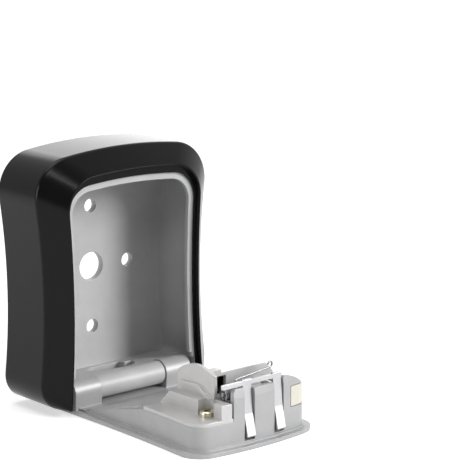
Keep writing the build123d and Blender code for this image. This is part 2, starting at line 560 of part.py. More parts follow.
# Lock cover: flange on the housing walls, lower block, sloped lid with an arched ear, screw pocket
block_inner = (BLOCK_X[0] + COVER_SKIN, BLOCK_X[1] - COVER_SKIN)
lid_inner = (LID_X[0] + COVER_SKIN, LID_X[1] - COVER_SKIN)
with BuildPart() as lock_cover:
    with BuildSketch(door_plan(COVER_W)) as flange:
        door_outline(flange, HOUSING_INSET + 0.1)
        with BuildLine():
            Polyline((-FAR, RAMP_END + LOCK_RISE), (FAR, RAMP_END + LOCK_RISE), (FAR, tall_start - 0.4),
                     (COVER_NOTCH_X, tall_start - 0.4), (COVER_NOTCH_X, LATCH_V - 0.5 + LOCK_RISE),
                     (TALL_X - 0.2, LATCH_V - 0.5 + LOCK_RISE), (TALL_X - 0.2, FAR + 30), (-FAR, FAR + 30),
                     close=True)
        make_face(mode=Mode.INTERSECT)
    extrude(amount=COVER_T)
    prism(lock_side(BLOCK_X[1]), [(BLOCK_V[0], COVER_W - 1), (BLOCK_V[1], BLOCK_W), (BLOCK_FRONT_V, BLOCK_W),
                                  (BLOCK_FRONT_V, COVER_W - 1)], BLOCK_X[1] - BLOCK_X[0])
    with BuildSketch(door_plan(BLOCK_W)) as corner_block:
        door_outline(corner_block, HOUSING_INSET + 0.1)
        corner_v = CORNER_BLOCK_V + LOCK_RISE
        with BuildLine():
            Polyline((CORNER_BLOCK_X[0], corner_v), (CORNER_BLOCK_X[0], FAR + 30),
                     (CORNER_BLOCK_X[1], FAR + 30),
                     (CORNER_BLOCK_X[1], BLOCK_FRONT_V - 1 + LOCK_RISE),
                     (CORNER_BLOCK_X[1] - CORNER_WALL, BLOCK_FRONT_V - 1 + LOCK_RISE),
                     (CORNER_BLOCK_X[1] - CORNER_WALL, corner_v), close=True)
        make_face(mode=Mode.INTERSECT)
    extrude(amount=BLOCK_W - COVER_W + 1)
    prism(lock_side(LID_X[1]), [(LID_BACK[0], COVER_W), LID_BACK, LID_FRONT, BAY_FLOOR[0], BAY_FLOOR[1],
                                (BAY_FLOOR[1][0], COVER_W - 1)], LID_X[1] - lid_inner[0])
    # Raised pad on the lid and the cut corner at its other end
    prism(lock_side(PAD_X), [(PAD_V[0], LID_BACK[1]), (PAD_V[1], PAD_SHOULDER_W),
                             (PAD_V[2], LID_FRONT[1] + PAD_RISE - 0.4),
                             (LID_FRONT[0], LID_FRONT[1] + PAD_RISE), (LID_FRONT[0], LID_BACK[1])],
          PAD_X - lid_inner[0])
    prism(wall_plane(0), [(LID_X[1] - LID_END_CUT, FAR), (LID_X[1] - LID_END_CUT, LID_FRONT[1]),
                          (LID_X[1] + 1, LID_FRONT[1] - LID_END_CUT - 1), (LID_X[1] + 1, FAR)], FAR + 40,
          Mode.SUBTRACT)
    # Arched ear with a stepped rib on its outer face
    with BuildSketch(lock_side(lid_inner[0])):
        with BuildLine():
            Polyline(EAR_BACK, (EAR_BACK[0], COVER_W + 3), (BLOCK_FRONT_V - 1, COVER_W + 3),
                     (EAR_FRONT[0], BLOCK_W), EAR_FRONT)
            Line(EAR_FRONT, EAR_TURN)
            ThreePointArc(EAR_TURN, EAR_CROWN, EAR_BACK)
        make_face()
    extrude(amount=COVER_SKIN)
    prism(lock_side(LID_X[0]), [(EAR_RIB[0][0], BLOCK_W - 1), *EAR_RIB, (EAR_RIB_FOOT_V, BLOCK_W),
                                (EAR_RIB_FOOT_V, BLOCK_W - 1)], EAR_STEP)
    prism(lock_side(LID_X[0] - EAR_GROOVE_DEPTH),
          [(EAR_GROOVE[0][0], BLOCK_W), *EAR_GROOVE, (EAR_GROOVE_FOOT_V, BLOCK_W)], EAR_STEP, Mode.SUBTRACT)
    # Hollow for the dials, fence and slide, and the opening beside the ear
    hollow_v = (BLOCK_V[0] + BLOCK_HOLLOW[0], BLOCK_V[1] + BLOCK_HOLLOW[1], BLOCK_FRONT_V - BLOCK_HOLLOW[2])
    prism(lock_side(block_inner[1]), [(hollow_v[0], 0), (hollow_v[0], COVER_W),
                                      (hollow_v[1], BLOCK_W - COVER_SKIN),
                                      (hollow_v[2], BLOCK_W - COVER_SKIN), (hollow_v[2], 0)],
          block_inner[1] - block_inner[0], Mode.SUBTRACT)
    prism(lock_side(lid_inner[1]), [(LID_BACK[0] + COVER_SKIN, 0),
                                    (LID_BACK[0] + COVER_SKIN, LID_BACK[1] - COVER_SKIN + 0.6),
                                    (LID_FRONT[0] - COVER_SKIN, LID_FRONT[1] - COVER_SKIN - 0.6),
                                    (BAY_FLOOR[0][0] - COVER_SKIN, BAY_FLOOR[0][1]),
                                    (BAY_FLOOR[1][0] - COVER_SKIN, BAY_FLOOR[1][1] - 0.4),
                                    (BAY_FLOOR[1][0] - COVER_SKIN, 0)], lid_inner[1] - lid_inner[0],
          Mode.SUBTRACT)
    box_in(lock_side(BAY_DOOR_X), (LID_FRONT[0] - COVER_SKIN - 0.5, LID_FRONT[0] + 1), BAY_DOOR_W,
           BAY_DOOR_X - lid_inner[0], Mode.SUBTRACT)
    # Screw pockets, the first with its own wall inside the block
    with BuildSketch(lock_plan(BLOCK_W)):
        with Locations(SCREW_SPOTS[0]):
            Circle(SCREW_HEAD_R[0] + SCREW_POCKET[0] + POCKET_WALL)
        with BuildLine():
            Polyline((BLOCK_X[0], 70), (lid_inner[0] + 0.1, 70), (lid_inner[0] + 0.1, BLOCK_FRONT_V),
                     (BLOCK_X[0], BLOCK_FRONT_V), close=True)
        make_face(mode=Mode.INTERSECT)
    extrude(amount=BLOCK_W - COVER_W)
    for spot, head, room in zip(SCREW_SPOTS, SCREW_HEAD_R, SCREW_POCKET):
        rod(lock_plan(BLOCK_W), spot, head + room, BLOCK_W - COVER_W, Mode.SUBTRACT)
        rod(lock_plan(COVER_W + 1), spot, SCREW_SHANK_R, COVER_W + 1, Mode.SUBTRACT)
lock_cover.part.label = "lock_cover"

screws = []
for number, (spot, head) in enumerate(zip(SCREW_SPOTS, SCREW_HEAD_R), start=1):
    with BuildPart() as screw:
        rod(lock_plan(COVER_W + SCREW_HEAD_W), spot, head, SCREW_HEAD_W)
        fillet(screw.faces().sort_by(Axis.Z)[-1].edges(), SCREW_CROWN * head)
        rod(lock_plan(COVER_W + 0.5), spot, SCREW_SHANK_R, COVER_W + 0.5 - HOUSING_W + SCREW_DEPTH)
        for angle in (0, 90):
            with BuildSketch(lock_plan(COVER_W + SCREW_HEAD_W)):
                with Locations(spot):
                    Rectangle(head, 0.9, rotation=angle)
            extrude(amount=1.1, mode=Mode.SUBTRACT)
    screw.part.label = f"cover_screw_{number}"
    screws.append(screw.part)

with BuildPart() as dial_shaft:
    rod(lock_side(SHAFT_X[1]), (DIAL_V, DIAL_W), SHAFT_R, SHAFT_X[1] - SHAFT_X[0])
dial_shaft.part.label = "dial_shaft"

# Leaf comb that clicks into the dials' grooves
with BuildPart() as detent_spring:
    box_in(lock_plan(SCOOP_PAD_W + DETENT_T), (DIAL_X[0] - DETENT_END, DIAL_X[-1] + DETENT_END), DETENT_V,
           DETENT_T)
    leaf_v = DETENT_V[1] - DETENT_LEAF
    tip_v = DIAL_V - DIAL_R - DETENT_GAP
    for dial_x in DIAL_X:
        prism(lock_side(dial_x + DETENT_WIDTH / 2),
              [(leaf_v, SCOOP_PAD_W), (DETENT_V[1], SCOOP_PAD_W), (tip_v, DIAL_W + DETENT_TIP_W[0]),
               (tip_v - DETENT_LEAF, DIAL_W + DETENT_TIP_W[1]), (leaf_v, SCOOP_PAD_W + DETENT_T)],
              DETENT_WIDTH)
detent_spring.part.label = "detent_spring"

# Number wheels with a groove between faces, each with its keyed cam sleeve
dials = []
cams = []
for letter, dial_x in zip("abcd", DIAL_X):
    dial_face = Plane(origin=lock_point(dial_x + DIAL_WIDTH / 2, DIAL_V, DIAL_W), x_dir=(0, -1, 0),
                      z_dir=(-1, 0, 0))
    with BuildPart() as dial:
        with BuildSketch(dial_face):
            Circle(DIAL_R)
            with PolarLocations(DIAL_R + 0.25, DIAL_FACES, start_angle=0):
                Circle(0.8, mode=Mode.SUBTRACT)
            Circle(DIAL_BORE_R, mode=Mode.SUBTRACT)
        extrude(amount=DIAL_WIDTH)
    dial.part.label = f"dial_{letter}"
    dials.append(dial.part)
    with BuildPart() as cam:
        with BuildSketch(dial_face):
            Circle(DIAL_BORE_R)
        extrude(amount=DIAL_WIDTH)
        with BuildSketch(dial_face.offset(DIAL_WIDTH)):
            Circle(CAM_R)
            with Locations((0, CAM_R)):
                Rectangle(2.2, 3.0, mode=Mode.SUBTRACT)
        extrude(amount=CAM_WIDTH)
        with BuildSketch(dial_face):
            Circle(SHAFT_R + RUN_CLEARANCE)
        extrude(amount=DIAL_WIDTH + CAM_WIDTH, mode=Mode.SUBTRACT)
    cam.part.label = f"cam_{letter}"
    cams.append(cam.part)

with BuildPart() as thumb_slide:
    box_in(lock_plan(THUMB_W[1]), THUMB_X, THUMB_V, THUMB_W[1] - THUMB_W[0])
    box_in(lock_plan(THUMB_PLATE_W), THUMB_PLATE_X, THUMB_PLATE_V, THUMB_PLATE_W - THUMB_W[1])
    for step in range(THUMB_RIDGES):
        ridge_v = THUMB_V[0] + 1.2 + step * (THUMB_V[1] - THUMB_V[0] - 2.4) / (THUMB_RIDGES - 1)
        box_in(lock_plan(THUMB_W[0]), (THUMB_X[0] + 0.5, THUMB_X[1] - 0.5),
               (ridge_v - 0.45, ridge_v + 0.45), 0.5)
thumb_slide.part.label = "thumb_slide"

with BuildPart() as fence_bar:
    box_in(lock_plan(FENCE_W[1]), FENCE_X, FENCE_V, FENCE_W[1] - FENCE_W[0])
    box_in(lock_plan(FENCE_W[0] + 0.5), (FENCE_X[0], FENCE_X[0] + FENCE_LEG), (FENCE_V[0] + 1.4, FENCE_V[1]),
           FENCE_W[0] + 0.5 - THUMB_PLATE_W)
    for dial_x in DIAL_X:
        tooth_x = dial_x - DIAL_WIDTH / 2 - CAM_WIDTH / 2
        box_in(lock_plan(FENCE_W[0] + 0.5), (tooth_x - FENCE_TOOTH / 2, tooth_x + FENCE_TOOTH / 2),
               (FENCE_V[0] + 0.8, FENCE_V[1]), FENCE_W[0] + 0.5 - FENCE_TOOTH_W)
fence_bar.part.label = "fence_bar"

with BuildPart() as latch_pin:
    rod(lock_side(LATCH_PIN_X[1]), (LATCH_V, LATCH_W), LATCH_PIN_R, LATCH_PIN_X[1] - LATCH_PIN_X[0])
latch_pin.part.label = "latch_pin"

# Stamped latch: top bar, two kinked hook legs and two eyes folded back on each for the pin
with BuildPart() as latch_plate:
    prism(lock_side(LATCH_BAR_X[1]), [(LATCH_BAR_TOP[0] - LATCH_T / 2, LATCH_BAR_TOP[1]),
                                      (LATCH_BAR_TOP[0] + LATCH_T / 2, LATCH_BAR_TOP[1]),
                                      (LATCH_BEND[0] + LATCH_T / 2, LATCH_BEND[1]),
                                      (LATCH_BEND[0] - LATCH_T / 2, LATCH_BEND[1])],
          LATCH_BAR_X[1] - LATCH_BAR_X[0])
    for leg in LEG_X:
        with BuildSketch(lock_side(leg[1])):
            with BuildLine():
                Polyline(LATCH_BAR_TOP, LATCH_BEND, LATCH_KINK, LATCH_TIP)
                offset(amount=LATCH_T / 2, side=Side.BOTH)
            make_face()
        extrude(amount=leg[1] - leg[0])
        for eye_x in (leg[0] + EYE_T, leg[1]):
            prism(lock_side(eye_x), [(LATCH_V, LATCH_W + EYE_R), (LATCH_BEND[0], LATCH_W + EYE_R),
                                     (LATCH_BEND[0] + 0.2, LATCH_W - EYE_R), (LATCH_V, LATCH_W - EYE_R)], EYE_T)
            rod(lock_side(eye_x), (LATCH_V, LATCH_W), EYE_R, EYE_T)
    rod(lock_side(LATCH_PIN_X[1]), (LATCH_V, LATCH_W), LATCH_PIN_R + RUN_CLEARANCE,
        LATCH_PIN_X[1] - LATCH_PIN_X[0], Mode.SUBTRACT)
latch_plate.part.label = "latch_plate"


def coil_point(turn):
    """Point and heading of the latch spring's wire after a number of turns."""
    angle = 2 * math.pi * turn
    point = lock_point(SPRING_X + SPRING_PITCH * turn, LATCH_V + SPRING_R * math.cos(angle),
                       LATCH_W + SPRING_R * math.sin(angle))
    rise = SPRING_PITCH / (2 * math.pi * SPRING_R)
    heading = Vector(rise, math.sin(angle), math.cos(angle)).normalized()
    return point, heading


def biarc(start, start_heading, end, end_heading):
    """Join two headed points by two arcs that meet in one heading."""
    across = end - start
    both = start_heading + end_heading
    spread = 2 * (1 - start_heading.dot(end_heading))
    reach = across.dot(both)
    length = (math.sqrt(reach * reach + spread * across.dot(across)) - reach) / spread
    middle = (start + start_heading * length + end - end_heading * length) * 0.5
    first = TangentArc(start, middle, tangent=start_heading)
    TangentArc(middle, end, tangent=first % 1)


with BuildPart() as latch_spring:
    with BuildLine() as wire_route:
        quarters = SPRING_TURNS * 4
        start, heading = coil_point(0)
        tail_end = start - heading * (LATCH_W - SPRING_TAIL_W)
        Line(tail_end, start)
        for quarter in range(quarters):
            here, here_heading = coil_point(quarter / 4)
            there, there_heading = coil_point((quarter + 1) / 4)
            biarc(here, here_heading, there, there_heading)
        leave, leave_heading = coil_point(SPRING_TURNS)
        riser = leave + leave_heading * (SPRING_RUN_W - LATCH_W - SPRING_CURL_R)
        Line(leave, riser)
        run_start = Vector(riser.X + SPRING_CURL_R, riser.Y, SPRING_RUN_W - MOUNT_H)
        bend = TangentArc(riser, run_start, tangent=leave_heading)
        run_heading = bend % 1
        run_end = run_start + run_heading * (SPRING_RUN_X - run_start.X)
        Line(run_start, run_end)
        curl = [(SPRING_CURL_R, SPRING_CURL_R), (0, 2 * SPRING_CURL_R), (-SPRING_CURL_R, SPRING_CURL_R)]
        last, last_heading = run_end, run_heading
        for step_x, step_w in curl:
            target = run_end + Vector(step_x, 0, step_w)
            arc = TangentArc(last, target, tangent=last_heading)
            last, last_heading = target, arc % 1
    with BuildSketch(Plane(origin=tail_end, z_dir=heading)):
        Circle(SPRING_WIRE_R)
    sweep()
latch_spring.part.label = "latch_spring"

route_points = []
for route_edge in wire_route.line.edges():
    route_points.extend((route_edge @ (n / 12) for n in range(12)))
least_gap = min((a - b).length - 2 * SPRING_WIRE_R
                for i, a in enumerate(route_points) for b in route_points[i + 30:])
print(f"latch spring: least gap between turns {least_gap:.2f} mm")

# Reset lever: plate filling a notch in the free-end wall, with a stem behind
with BuildPart() as reset_lever:
    with BuildSketch(door_plan(RESET_W[1])) as reset_face:
        door_outline(reset_face, HOUSING_INSET)
        with Locations(((RESET_X[0] + RESET_X[1]) / 2, RESET_BACK_V + LOCK_RISE + FAR / 2)):
            Rectangle(RESET_X[1] - RESET_X[0], FAR, mode=Mode.INTERSECT)
    extrude(amount=RESET_W[1] - RESET_W[0])
    add(swing_room.part, mode=Mode.INTERSECT)
    box_in(lock_plan(20), (22, 25), (RESET_BACK_V - 1, RESET_BACK_V + 0.5), 4)
reset_lever.part.label = "reset_lever"

os.makedirs("parts", exist_ok=True)
every_part = [outer_shell.part, inner_case.part, hinge_pin.part, door_panel.part, lock_cover.part, *screws,
              dial_shaft.part, detent_spring.part, *dials, *cams, thumb_slide.part, fence_bar.part,
              latch_pin.part, latch_plate.part, latch_spring.part, reset_lever.part]
for piece in every_part:
    export_step(piece, f"parts/{piece.label}.step")
    print(piece.label, len(piece.solids()), round(piece.volume, 1))
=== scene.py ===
"""Wall key safe: finishes, dial figures, small cast marks and a plain studio."""
import logging
import math
from dataclasses import dataclass, field
from enum import Enum
from typing import Sequence

import bmesh
import bpy
from mathutils import Matrix, Vector


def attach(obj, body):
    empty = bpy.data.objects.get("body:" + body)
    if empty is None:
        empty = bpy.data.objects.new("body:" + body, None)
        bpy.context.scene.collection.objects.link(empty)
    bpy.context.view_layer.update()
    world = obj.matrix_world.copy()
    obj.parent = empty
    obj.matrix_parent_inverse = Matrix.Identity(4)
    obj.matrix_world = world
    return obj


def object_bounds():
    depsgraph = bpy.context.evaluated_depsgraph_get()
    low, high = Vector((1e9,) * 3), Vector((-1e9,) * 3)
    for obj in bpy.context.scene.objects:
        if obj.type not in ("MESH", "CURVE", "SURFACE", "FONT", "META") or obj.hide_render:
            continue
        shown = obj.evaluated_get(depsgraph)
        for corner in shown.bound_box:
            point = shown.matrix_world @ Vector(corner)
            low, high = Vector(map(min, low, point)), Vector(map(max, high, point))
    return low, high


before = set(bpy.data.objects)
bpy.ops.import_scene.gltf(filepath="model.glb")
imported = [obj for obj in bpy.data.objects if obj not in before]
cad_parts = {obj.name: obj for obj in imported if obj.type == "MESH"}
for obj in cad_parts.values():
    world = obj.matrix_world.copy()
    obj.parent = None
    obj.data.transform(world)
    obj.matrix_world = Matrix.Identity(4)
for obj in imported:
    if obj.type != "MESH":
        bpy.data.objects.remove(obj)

logging.basicConfig(level=logging.INFO, format="%(message)s")
LOG = logging.getLogger("key_safe")

MM = 0.001
MOUNT_H = 57.6
DOOR_F = 21.1
CAD_BOX = [list(map(float, corner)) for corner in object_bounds()]

# Noise patches in millimetres, with their octaves, and how deep the bump is
BROAD_PATCH = 14.0
BROAD_DETAIL = 3.0
PEEL_PATCH = 2.4
PEEL_DETAIL = 2.0
PEEL_STRENGTH = 0.12
BUMP_DEPTH = 0.1
# Where mottling turns from darker to lighter, how strongly the grain tints it for each share of
# mottling, and how far the roughness wanders to each side
MOTTLE_RANGE = (0.3, 0.7)
GRAIN_SHARE = 2.5
ROUGHNESS_WANDER = 0.18
# Painted edge highlight: reach beyond the eased edge, the two facings it fades between, and the
# paler colour
HIGHLIGHT_REACH = 1.6
HIGHLIGHT_FACING = (0.98, 0.86)
HIGHLIGHT_GAIN = 1.5
HIGHLIGHT_LIFT = 0.08
EDGE_SAMPLES = 6

Point = tuple[float, float, float]
Colour = tuple[float, float, float]
Tree = bpy.types.NodeTree
Socket = bpy.types.NodeSocket


def door_point(x: float, v: float, w: float) -> Vector:
    """World place, in metres, of x across, v up and w into the open door, in millimetres."""
    return Vector((x, -DOOR_F - v, w - MOUNT_H)) * MM


def object_from(name: str, data: bpy.types.ID) -> bpy.types.Object:
    """Link a mesh, a text curve, a lamp or a camera into the scene as an object at the origin.

    Args:
        name: Name of the new object.
        data: What the object holds.

    Returns:
        The new object.
    """
    obj = bpy.data.objects.new(name, data)
    bpy.context.scene.collection.objects.link(obj)
    return obj


def mesh_from(name: str, shape: bmesh.types.BMesh) -> bpy.types.Mesh:
    """Turn a shape in the making into a mesh, and free the shape.

    Args:
        name: Name of the new mesh.
        shape: The shape in the making.

    Returns:
        The new mesh.
    """
    mesh = bpy.data.meshes.new(name)
    shape.to_mesh(mesh)
    shape.free()
    return mesh


def math_result(tree: Tree, operation: str, first: Socket,
                second: Socket | float | None = None) -> Socket:
    """Add a Math node to a tree.

    Args:
        tree: The tree, of either kind.
        operation: The Math node's operation.
        first: The socket it starts from.
        second: Its second socket or number, where it has one.

    Returns:
        The socket of the node's result.
    """
    node = tree.nodes.new("ShaderNodeMath")
    node.operation = operation
    tree.links.new(first, node.inputs[0])
    if isinstance(second, (int, float)):
        node.inputs[1].default_value = second
    elif second is not None:
        tree.links.new(second, node.inputs[1])
    return node.outputs["Value"]


class Grain(Enum):
    """How a surface is broken up close to: octaves of its noise, their breakup and its peel."""

    COATED = (3.0, 0.45, 0.1)
    CAST = (6.0, 0.62, 0.35)
    DRAWN = (5.0, 0.55, 0.0)
    MOULDED = (4.0, 0.5, 0.2)

    @property
    def detail(self) -> float:
        """Octaves of the fine noise."""
        return self.value[0]

    @property
    def breakup(self) -> float:
        """How strongly each finer octave of the noise counts."""
        return self.value[1]

    @property
    def peel(self) -> float:
        """Share of the slow waviness that shows in the bump."""
        return self.value[2]


@dataclass(frozen=True)
class Finish:
    """One surface finish, built as a node material on Object coordinates."""

    name: str
    colour: Colour
    metallic: float
    roughness: float
    grain: Grain
    grain_size: float = 0.6
    bump: float = 0.05
    edge_radius: float = 0.25
    # share of painted highlight: a paler colour laid on the edges
    edge_wear: float = 0.0
    mottle: float = 0.06
    coat: float = 0.0
    coat_roughness: float = 0.1
    coat_ior: float = 1.5
    specular: float = 0.5
    draw_axis: Point = (1.0, 1.0, 1.0)

    def build(self) -> bpy.types.Material:
        """Build the material.

        Returns:
            The new material.
        """
        material = bpy.data.materials.new(self.name)
        material.use_nodes = True
        tree = material.node_tree
        tree.nodes.clear()
        output = tree.nodes.new("ShaderNodeOutputMaterial")
        shader = tree.nodes.new("ShaderNodeBsdfPrincipled")
        tree.links.new(shader.outputs["BSDF"], output.inputs["Surface"])
        shader.inputs["Metallic"].default_value = self.metallic
        shader.inputs["Coat Weight"].default_value = self.coat
        shader.inputs["Coat Roughness"].default_value = self.coat_roughness
        shader.inputs["Coat IOR"].default_value = self.coat_ior
        shader.inputs["Specular IOR Level"].default_value = self.specular
        place = tree.nodes.new("ShaderNodeTexCoord").outputs["Object"]
        fine = self._noise(tree, place, self.grain_size, self.grain.detail)
        broad = self._noise(tree, place, BROAD_PATCH, BROAD_DETAIL)
        tree.links.new(self._tint(tree, broad, fine), shader.inputs["Base Color"])
        tree.links.new(self._rough(tree, broad, fine), shader.inputs["Roughness"])
        tree.links.new(self._normal(tree, place, fine), shader.inputs["Normal"])
        material.diffuse_color = (*self.colour, 1.0)
        return material

    def _noise(self, tree: Tree, place: Socket, patch: float, detail: float) -> Socket:
        """Add noise, drawn out along the grain of drawn metal.

        Args:
            tree: The material's tree.
            place: Object coordinates.
            patch: Size of the noise's patches, in millimetres.
            detail: Octaves of the noise.

        Returns:
            The noise's value, from 0 to 1.
        """
        mapping = tree.nodes.new("ShaderNodeMapping")
        mapping.inputs["Scale"].default_value = self.draw_axis
        tree.links.new(place, mapping.inputs["Vector"])
        noise = tree.nodes.new("ShaderNodeTexNoise")
        noise.inputs["Scale"].default_value = 1.0 / (patch * MM)
        noise.inputs["Detail"].default_value = detail
        noise.inputs["Roughness"].default_value = self.grain.breakup
        tree.links.new(mapping.outputs["Vector"], noise.inputs["Vector"])
        return noise.outputs["Fac"]

    def _edge_normal(self, tree: Tree, radius: float) -> Socket:
        """Add the surface's normal with its edges eased.

        Args:
            tree: The material's tree.
            radius: Radius of the eased edges, in millimetres.

        Returns:
            The eased normal.
        """
        bevel = tree.nodes.new("ShaderNodeBevel")
        bevel.samples = EDGE_SAMPLES
        bevel.inputs["Radius"].default_value = radius * MM
        return bevel.outputs["Normal"]

    def _mottled(self, tree: Tree, broad: Socket) -> Socket:
        """Ramp the broad noise between a darker and a lighter shade of the colour.

        Args:
            tree: The material's tree.
            broad: The broad noise.

        Returns:
            The mottled colour.
        """
        ramp = tree.nodes.new("ShaderNodeValToRGB")
        for element, place, shift in zip(ramp.color_ramp.elements, MOTTLE_RANGE, (-1, 1)):
            element.position = place
            element.color = (*(min(1.0, c * (1 + shift * self.mottle)) for c in self.colour), 1.0)
        tree.links.new(broad, ramp.inputs["Fac"])
        return ramp.outputs["Color"]

    def _tint(self, tree: Tree, broad: Socket, fine: Socket) -> Socket:
        """Add the colour, with broad mottling, a fine grain and a painted highlight on the edges.

        Args:
            tree: The material's tree.
            broad: The broad noise.
            fine: The fine noise.

        Returns:
            The colour.
        """
        grained = tree.nodes.new("ShaderNodeMix")
        grained.data_type = "RGBA"
        grained.blend_type = "OVERLAY"
        grained.inputs["Factor"].default_value = min(1.0, self.mottle * GRAIN_SHARE)
        tree.links.new(self._mottled(tree, broad), grained.inputs["A"])
        tree.links.new(fine, grained.inputs["B"])
        if self.edge_wear <= 0:
            return grained.outputs["Result"]
        # painted highlight: the edges are lifted to a paler colour
        highlighted = tree.nodes.new("ShaderNodeMix")
        highlighted.data_type = "RGBA"
        paler = (min(1.0, c * HIGHLIGHT_GAIN + HIGHLIGHT_LIFT) for c in self.colour)
        highlighted.inputs["B"].default_value = (*paler, 1.0)
        tree.links.new(self._wear(tree, fine), highlighted.inputs["Factor"])
        tree.links.new(grained.outputs["Result"], highlighted.inputs["A"])
        return highlighted.outputs["Result"]

    def _wear(self, tree: Tree, fine: Socket) -> Socket:
        """Add the share of painted edge highlight, which lies on the edges and is broken up by the
        grain.

        Args:
            tree: The material's tree.
            fine: The fine noise.

        Returns:
            The share of painted edge highlight.
        """
        face = tree.nodes.new("ShaderNodeNewGeometry")
        match = tree.nodes.new("ShaderNodeVectorMath")
        match.operation = "DOT_PRODUCT"
        eased = self._edge_normal(tree, self.edge_radius * HIGHLIGHT_REACH)
        tree.links.new(eased, match.inputs[0])
        tree.links.new(face.outputs["Normal"], match.inputs[1])
        edge = tree.nodes.new("ShaderNodeMapRange")
        edge.inputs["From Min"].default_value = HIGHLIGHT_FACING[0]
        edge.inputs["From Max"].default_value = HIGHLIGHT_FACING[1]
        edge.inputs["To Max"].default_value = self.edge_wear
        tree.links.new(match.outputs["Value"], edge.inputs["Value"])
        return math_result(tree, "MULTIPLY", edge.outputs["Result"], fine)

    def _rough(self, tree: Tree, broad: Socket, fine: Socket) -> Socket:
        """Add the roughness, which wanders a little with both noises.

        Args:
            tree: The material's tree.
            broad: The broad noise.
            fine: The fine noise.

        Returns:
            The roughness.
        """
        both = math_result(tree, "ADD", broad, fine)
        spread = tree.nodes.new("ShaderNodeMapRange")
        spread.inputs["From Max"].default_value = 2.0
        spread.inputs["To Min"].default_value = self.roughness * (1 - ROUGHNESS_WANDER)
        spread.inputs["To Max"].default_value = self.roughness * (1 + ROUGHNESS_WANDER)
        tree.links.new(both, spread.inputs["Value"])
        return spread.outputs["Result"]

    def _bumped(self, tree: Tree, normal: Socket, height: Socket, strength: float) -> Socket:
        """Add a bump to a normal.

        Args:
            tree: The material's tree.
            normal: The normal that the bump is laid on.
            height: The bump's height, from 0 to 1.
            strength: The bump's strength.

        Returns:
            The bumped normal.
        """
        bump = tree.nodes.new("ShaderNodeBump")
        bump.inputs["Strength"].default_value = strength
        bump.inputs["Distance"].default_value = BUMP_DEPTH * MM
        tree.links.new(height, bump.inputs["Height"])
        tree.links.new(normal, bump.inputs["Normal"])
        return bump.outputs["Normal"]

    def _normal(self, tree: Tree, place: Socket, fine: Socket) -> Socket:
        """Add the normal, with eased edges, the grain's bump and the peel's slow waviness.

        Args:
            tree: The material's tree.
            place: Object coordinates.
            fine: The fine noise.

        Returns:
            The normal.
        """
        grained = self._bumped(tree, self._edge_normal(tree, self.edge_radius), fine, self.bump)
        if self.grain.peel <= 0:
            return grained
        slow = self._noise(tree, place, PEEL_PATCH, PEEL_DETAIL)
        return self._bumped(tree, grained, slow, self.grain.peel * PEEL_STRENGTH)


SHELL_COAT = Finish("shell_black_coat", (0.0045, 0.0045, 0.005), 0.0, 0.2, Grain.COATED,
                    grain_size=0.5, bump=0.008, edge_radius=0.5, mottle=0.08, coat=0.2,
                    coat_roughness=0.14, coat_ior=1.3, specular=0.11)
CASE_COAT = Finish("case_silver_coat", (0.50, 0.50, 0.505), 0.08, 0.46, Grain.CAST,
                   grain_size=0.35, bump=0.10, edge_radius=0.4, edge_wear=0.3, mottle=0.05,
                   specular=0.35)
DOOR_COAT = Finish("door_silver_coat", (0.43, 0.43, 0.435), 0.2, 0.42, Grain.CAST,
                   grain_size=0.35, bump=0.09, edge_radius=0.4, edge_wear=0.35, mottle=0.05)
COVER_CAST = Finish("cover_zinc_cast", (0.57, 0.562, 0.558), 0.3, 0.40, Grain.CAST,
                    grain_size=0.45, bump=0.12, edge_radius=0.5, edge_wear=0.5, mottle=0.06)
# Painted shade: a dark pad stands for the shade inside the ribbed pocket on the door
POCKET_SHADE = Finish("pocket_painted_shade", (0.10, 0.10, 0.10), 0.2, 0.6, Grain.CAST,
                      grain_size=0.4, bump=0.15, edge_radius=0.1)
PIN_STEEL = Finish("pin_steel", (0.55, 0.55, 0.56), 1.0, 0.3, Grain.DRAWN, grain_size=0.2,
                   bump=0.1, draw_axis=(0.05, 1.0, 1.0))
SPRING_STEEL = Finish("spring_steel", (0.30, 0.30, 0.32), 1.0, 0.32, Grain.DRAWN,
                      grain_size=0.2, bump=0.05, edge_radius=0.05)
LATCH_STEEL = Finish("latch_steel", (0.56, 0.56, 0.57), 1.0, 0.34, Grain.DRAWN,
                     grain_size=0.25, bump=0.08, edge_radius=0.2, edge_wear=0.2,
                     draw_axis=(1.0, 0.2, 0.2))
SCREW_PLATE = Finish("screw_yellow_plate", (0.72, 0.66, 0.50), 1.0, 0.24, Grain.DRAWN,
                     grain_size=0.3, bump=0.05, edge_radius=0.2)
DIAL_MOULD = Finish("dial_black_mould", (0.018, 0.018, 0.019), 0.0, 0.42, Grain.MOULDED,
                    grain_size=0.3, bump=0.06, edge_radius=0.15)
SLIDE_MOULD = Finish("slide_black_mould", (0.014, 0.014, 0.015), 0.0, 0.4, Grain.MOULDED,
                     grain_size=0.3, bump=0.08, edge_radius=0.15)
CAM_CAST = Finish("cam_zinc_cast", (0.5, 0.5, 0.5), 0.8, 0.45, Grain.CAST, grain_size=0.3)
LEVER_MOULD = Finish("lever_cream_mould", (0.70, 0.67, 0.58), 0.0, 0.4, Grain.MOULDED,
                     grain_size=0.4, bump=0.05, edge_radius=0.2)
FIGURE_PAINT = Finish("figure_white_paint", (0.8, 0.8, 0.78), 0.0, 0.5, Grain.MOULDED,
                      grain_size=0.2, bump=0.04, edge_radius=0.02)

